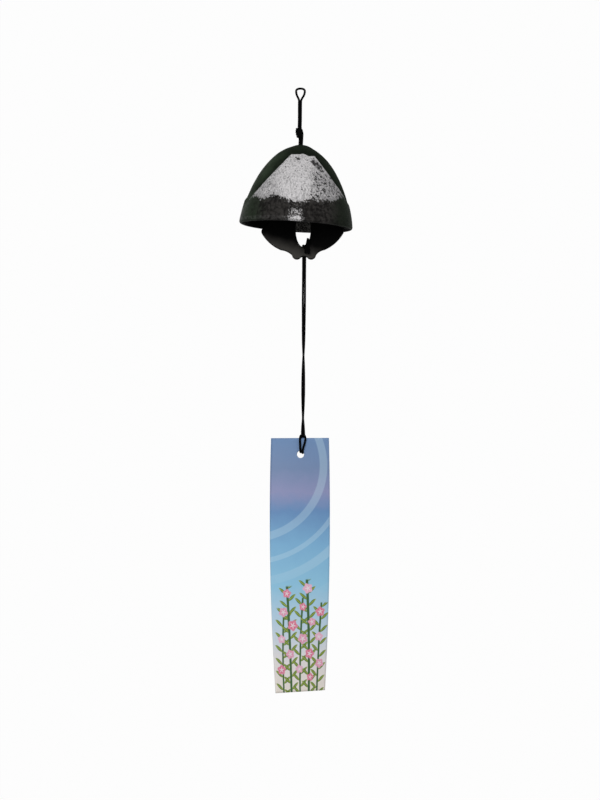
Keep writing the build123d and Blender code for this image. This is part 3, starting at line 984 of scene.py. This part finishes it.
def punch_ring(rim, share):
    """The patch's square rim drawn in by a share of the way to the round hole."""
    ring = []
    for across, drop in rim:
        reach = math.hypot(across, drop - PUNCH_DROP)
        grow = (1 - share) + share * PUNCH_RADIUS / reach
        ring.append((across * grow, PUNCH_DROP + (drop - PUNCH_DROP) * grow))
    return ring


def sheet_quads(columns, rows, rim):
    """Quads of one flat face: the grid outside the patch, and rings from the patch in to the hole."""
    quads = []
    for left, right in zip(columns, columns[1:]):
        for upper, lower in zip(rows, rows[1:]):
            across, drop = (left + right) / 2, (upper + lower) / 2
            if abs(across) > PATCH_HALF or abs(drop - PUNCH_DROP) > PATCH_HALF:
                quads.append([(left, upper), (left, lower), (right, lower), (right, upper)])
    rings = [rim] + [punch_ring(rim, ring / PATCH_RINGS) for ring in range(1, PATCH_RINGS + 1)]
    for outer, inner in zip(rings, rings[1:]):
        for i in range(len(rim)):
            j = (i + 1) % len(rim)
            quads.append([outer[i], inner[i], inner[j], outer[j]])
    return quads


def strip_mesh():
    """Flat points, each with its side, and quads, each with the side that it faces or 0 on an edge."""
    columns, rows = strip_grid()
    rim = outline(near(columns, 0, PATCH_HALF), near(rows, PUNCH_DROP, PATCH_HALF))
    hole = punch_ring(rim, 1)
    index = {}

    def spot(across, drop, side):
        return index.setdefault((round(across, 4), round(drop, 4), side), len(index))

    quads = []
    flat = sheet_quads(columns, rows, rim)
    for side in (-1, 1):
        quads += [([spot(*corner, side) for corner in quad], side) for quad in flat]
    edge = outline(columns, rows)
    edges = list(zip(hole[1:] + hole[:1], hole)) + list(zip(edge, edge[1:] + edge[:1]))
    for a, b in edges:
        quads.append(([spot(*a, -1), spot(*b, -1), spot(*b, 1), spot(*a, 1)], 0))
    return list(index), quads


PRINT_STOPS = [
    (0.00, (0.165, 0.285, 0.505, 1)), (0.12, (0.187, 0.270, 0.458, 1)), (0.215, (0.285, 0.310, 0.525, 1)),
    (0.29, (0.143, 0.288, 0.535, 1)), (0.42, (0.225, 0.475, 0.725, 1)), (0.58, (0.300, 0.600, 0.815, 1)),
    (0.74, (0.560, 0.720, 0.860, 1)), (0.88, (0.850, 0.815, 0.820, 1)), (1.00, (0.920, 0.850, 0.770, 1))]
# Place across and down the strip, radius and width
RIPPLES = [(-30, 16, 44, 4.0), (-30, 16, 58, 2.6), (-30, 16, 70, 4.5), (-30, 16, 86, 2.6)]
RIPPLE_PALE = (0.56, 0.78, 0.92, 1)
# Foot across the strip, sway to the tip, level of the tip, half width
STEMS = [
    (-12.5, 2.0, 101, 0.55), (-7.0, -1.5, 88, 0.75), (-0.8, 2.2, 95, 0.60), (5.6, -1.8, 84, 0.80),
    (11.5, 1.6, 98, 0.60)]
LEAF_REACH = 5.2
LEAF_SPACING = 7.5
LEAF_HALF_WIDTH = 1.15
# Place across and down the strip, half width, turn of the petals, and how pale
BLOSSOMS = [
    (-8.6, 93, 2.7, 10, 0.0), (4.4, 90, 3.2, 40, 1.0), (-11.0, 104, 3.0, 55, 0.6),
    (1.4, 101, 2.5, 5, 0.0), (12.4, 104, 3.1, 25, 0.0), (-5.2, 112, 3.4, 62, 0.0),
    (7.2, 110, 2.6, 33, 0.6), (-12.6, 120, 2.6, 20, 1.0), (1.2, 120, 3.3, 48, 0.6),
    (11.8, 119, 2.8, 12, 1.0), (-7.2, 129, 2.9, 36, 0.6), (5.8, 129, 3.2, 70, 0.0),
    (-13.4, 138, 3.0, 15, 0.0), (-1.2, 138, 2.7, 28, 1.0), (12.6, 135, 3.0, 52, 0.6),
    (6.4, 143, 2.5, 8, 0.0)]
PINK = (0.760, 0.045, 0.200, 1)
PALE_PINK = (0.840, 0.360, 0.560, 1)
BLOSSOM_WHITE = (0.88, 0.84, 0.86, 1)
STEM_GREEN = (0.045, 0.125, 0.035, 1)
LEAF_DARK = (0.110, 0.210, 0.040, 1)
LEAF_LIGHT = (0.430, 0.500, 0.070, 1)
PETALS = 5
CARD_PALE = (0.80, 0.79, 0.77, 1)
CARD_DIM = (0.74, 0.73, 0.71, 1)


class StripPrint(Finish):
    """The strip's printed front, built up in layers as it is printed."""

    def __init__(self, name):
        super().__init__(bpy.data.materials.new(name))
        self.across, self.drop = self.chart("print")
        flat = self.node("ShaderNodeCombineXYZ", {}, {0: self.across, 1: self.drop})
        self.speck = self.grain(flat, 1.4)
        self.wash = self.grain(flat, 0.12, 2.0)

    def distance(self, x, z):
        """Places from a point across and down the strip, and the distance from it."""
        dx, dz = self.across - x, self.drop - z
        square = dx * dx + dz * dz
        return dx, dz, square.maths("SQRT", square)

    def ripple(self, colour, x, z, radius, width):
        out = self.distance(x, z)[2]
        ring = 1 - self.step(abs(out - radius), width * 0.5, width * 0.65)
        return self.mix(ring * (1 - self.step(self.drop, 70, 100)) * 0.3, colour, RIPPLE_PALE)

    def stem(self, colour, foot, sway, tip, half_width):
        """A stalk that sways towards its tip, with leaves by turns on its left and right."""
        rise = (STRIP_LENGTH - self.drop) / (STRIP_LENGTH - tip)
        aside = self.across - (rise * rise * sway + foot)
        below_tip = 1 - self.step(rise, 0.98, 1.0)
        out = abs(aside)
        turn = (self.drop + out * 0.8) / LEAF_SPACING + self.step(aside, -0.01, 0.01) * 0.5 + foot
        middle = abs(turn.maths("FRACT", turn) - 0.5) * LEAF_SPACING
        swell = out / LEAF_REACH * 2 - 1
        leaf = self.step((1 - swell * swell) * LEAF_HALF_WIDTH - middle, -0.08, 0.08) * below_tip
        shade = self.step(middle + self.speck * 0.5, 0.25, 0.75)
        colour = self.mix(leaf, colour, self.mix(shade, LEAF_LIGHT, LEAF_DARK))
        stalk = (1 - self.step(out - half_width, -0.1, 0.1)) * below_tip
        return self.mix(stalk, colour, STEM_GREEN)

    def blossom(self, colour, x, z, radius, turn, pale):
        dx, dz, distance = self.distance(x, z)
        out = distance / radius
        angle = dx.maths("ARCTAN2", dz, dx) * PETALS + math.radians(turn * PETALS)
        petal = angle.maths("COSINE", angle)
        flower = 1 - self.step(out - petal * 0.12, 0.84, 0.92)
        heart = 1 - self.step(out - petal * 0.22, 0.12, 0.5)
        body = [first + (last - first) * pale for first, last in zip(PINK, PALE_PINK)]
        body = self.mix(out * 0.35, body, BLOSSOM_WHITE)
        return self.mix(flower, colour, self.mix(heart, body, BLOSSOM_WHITE))

    def printed(self):
        place = self.drop / STRIP_LENGTH + (self.wash - 0.5) * 0.05
        colour = self.node("ShaderNodeValToRGB", {"stops": PRINT_STOPS}, {0: place})
        for ripple in RIPPLES:
            colour = self.ripple(colour, *ripple)
        for stem in STEMS:
            colour = self.stem(colour, *stem)
        for blossom in BLOSSOMS:
            colour = self.blossom(colour, *blossom)
        return self.surface(
            Base_Color=colour, Roughness=0.42 + self.speck * 0.12, Specular_IOR_Level=0.3,
            Normal=self.bump(self.speck, 0.02))


def plain_card():
    finish = new_finish("plain_card")
    fibre = finish.grain(finish.place(), 1.2)
    return finish.surface(
        Base_Color=finish.mix(finish.step(fibre, 0.35, 0.7), CARD_PALE, CARD_DIM),
        Roughness=0.6 + fibre * 0.1, Normal=finish.bump(fibre, 0.02))


flat_points, strip_quads = strip_mesh()
strip_points = [
    metres(*on_strip(PUNCH_SHIFT + across, side * STRIP_THICKNESS / 2, drop))
    for across, drop, side in flat_points]
strip_faces = []
strip_chart = []
strip_indices = []
for corners, side in strip_quads:
    ordered = corners if side <= 0 else list(reversed(corners))
    strip_faces.append(ordered)
    strip_chart.append([flat_points[corner][:2] for corner in ordered])
    strip_indices.append(0 if side == -1 else 1)
strip_finishes = [StripPrint("printed_card").printed(), plain_card()]
strip = mesh_piece(
    "printed_strip", strip_points, strip_faces, strip_finishes, "print", strip_chart, strip_indices)
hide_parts("paper_strip")
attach(strip, "strip")


# Room: a pale floor that curves up into a pale wall, and even light from all round.
# One soft lamp stands in front on the left, one on the right and one behind.

FLOOR = -1.5
FLOOR_FRONT = -3.0
FLOOR_BACK = 2.0
COVE_RADIUS = 0.5
COVE_STEPS = 12
WALL_TOP = 2.6
STAGE_HALF_WIDTH = 3.0
STAGE_GREY = (0.86, 0.86, 0.86, 1)
STAGE_WHITE_SHARE = 0.97
WHITE = (1, 1, 1, 1)
ROOM_LIGHT = 0.4
LAMP_AIM = (0, 0, -0.15)


def seen_share(finish):
    """1 where the background is seen or mirrored, and 0 where it only gives light."""
    seen = finish.node("ShaderNodeLightPath", {}, {}, "Is Camera Ray")
    mirrored = finish.node("ShaderNodeLightPath", {}, {}, "Is Glossy Ray")
    return seen.maths("MAXIMUM", seen, mirrored)


def stage_finish():
    finish = new_finish("pale_stage")
    white = finish.node("ShaderNodeEmission", {}, {"Color": WHITE, "Strength": 1.0})
    matt = finish.node("ShaderNodeBsdfDiffuse", {}, {"Color": STAGE_GREY})
    shown = seen_share(finish) * STAGE_WHITE_SHARE
    both = finish.node("ShaderNodeMixShader", {}, {0: shown, 1: matt, 2: white})
    finish.node("ShaderNodeOutputMaterial", {}, {0: both})
    return finish.owner


stage_profile = [(FLOOR_FRONT, FLOOR), (FLOOR_BACK, FLOOR)]
for step in range(1, COVE_STEPS + 1):
    bend = math.pi / 2 * step / COVE_STEPS
    back = FLOOR_BACK + COVE_RADIUS * math.sin(bend)
    stage_profile.append((back, FLOOR + COVE_RADIUS * (1 - math.cos(bend))))
stage_profile.append((FLOOR_BACK + COVE_RADIUS, WALL_TOP))
stage_points = [(x, y, z) for y, z in stage_profile for x in (-STAGE_HALF_WIDTH, STAGE_HALF_WIDTH)]
stage_faces = [(2 * i, 2 * i + 1, 2 * i + 3, 2 * i + 2) for i in range(len(stage_profile) - 1)]
stage_mesh = bpy.data.meshes.new("pale_floor")
stage_mesh.from_pydata(stage_points, [], stage_faces)
stage_mesh.materials.append(stage_finish())
floor = bpy.data.objects.new("pale_floor", stage_mesh)
bpy.context.scene.collection.objects.link(floor)


def soft_lamp(name, place, size, power):
    light = bpy.data.lights.new(name, "AREA")
    light.shape = "DISK"
    light.size = size
    light.energy = power
    lamp = bpy.data.objects.new(name, light)
    lamp.location = place
    lamp.rotation_euler = (Vector(LAMP_AIM) - Vector(place)).to_track_quat("-Z", "Y").to_euler()
    bpy.context.scene.collection.objects.link(lamp)


soft_lamp("front_lamp", place=(-0.35, -1.1, 0.3), size=0.45, power=5.8)
soft_lamp("side_lamp", place=(1.0, -0.9, 0.2), size=0.7, power=3)
soft_lamp("back_lamp", place=(-0.6, 1.3, 0.3), size=0.8, power=3.5)

world = bpy.data.worlds.new("pale_room")
bpy.context.scene.world = world
room = Finish(world)
strength = seen_share(room) * (1 - ROOM_LIGHT) + ROOM_LIGHT
sky = room.node("ShaderNodeBackground", {}, {"Color": WHITE, "Strength": strength})
room.node("ShaderNodeOutputWorld", {}, {0: sky})


# Camera: a long lens about a metre and a half in front of the strip's top, looking a little
# upwards, so that the dark inside of the bell shows under its rim.

CAMERA_PLACE = Vector((-0.0003, -1.45, -0.235))
CAMERA_AIM = Vector((-0.0003, 0, -0.1872))
FRAME_HEIGHT = 0.48
camera_data = bpy.data.cameras.new("camera")
camera_data.sensor_width = 36.0
camera_data.lens = camera_data.sensor_width * (CAMERA_AIM - CAMERA_PLACE).length / FRAME_HEIGHT
camera = bpy.data.objects.new("camera", camera_data)
camera.location = CAMERA_PLACE
camera.rotation_euler = (CAMERA_AIM - CAMERA_PLACE).to_track_quat("-Z", "Y").to_euler()
bpy.context.scene.collection.objects.link(camera)
bpy.context.scene.camera = camera
bpy.context.scene.view_settings.view_transform = "Standard"
